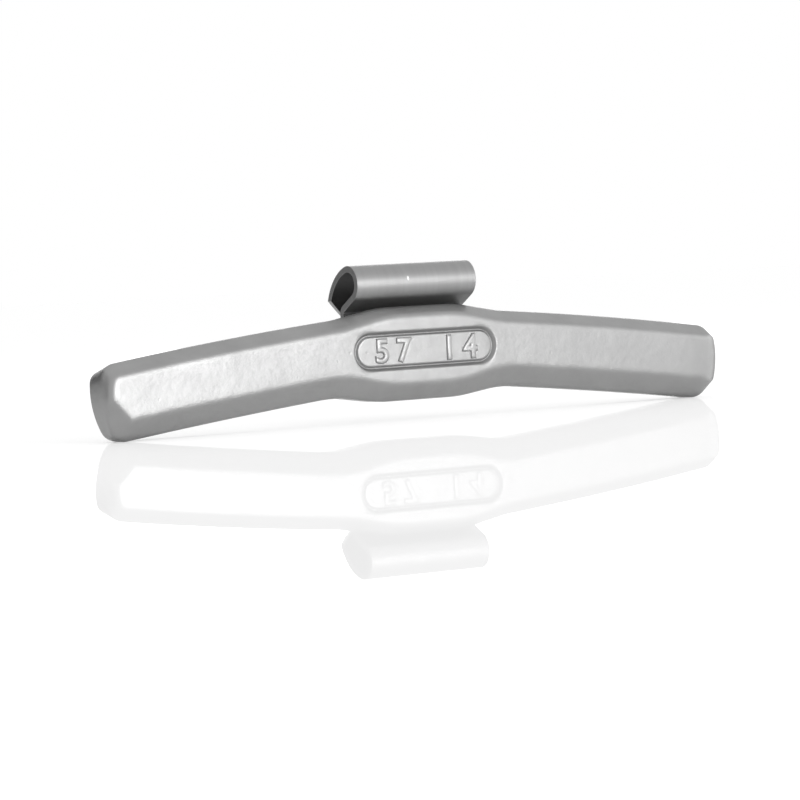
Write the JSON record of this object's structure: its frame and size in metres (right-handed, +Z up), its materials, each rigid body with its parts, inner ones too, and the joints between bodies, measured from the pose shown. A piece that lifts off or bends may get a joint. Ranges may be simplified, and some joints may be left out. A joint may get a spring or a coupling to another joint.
{
  "type": "wheel balance weight",
  "caption": "Arched cast bar with a taller middle boss and a shallow stadium panel, held on a wheel rim flange by a curled spring steel clip staked to its back.",
  "frame": {"origin": "bottom centre of the whole, on the level the two ends stand on", "axes": "+X along the bar, +Y from the front face towards the wheel, +Z up from the ends of the bar to the clip"},
  "size_m": [0.1096, 0.0108, 0.0237],
  "materials": {
    "coated_iron": "satin grey coat over the cast surface",
    "spring_steel": "satin rolled strip with a thin grey coat"
  },
  "bodies": {
    "root": {"cast_weight": "coated_iron", "spring_clip": "spring_steel"}
  },
  "joints": []
}
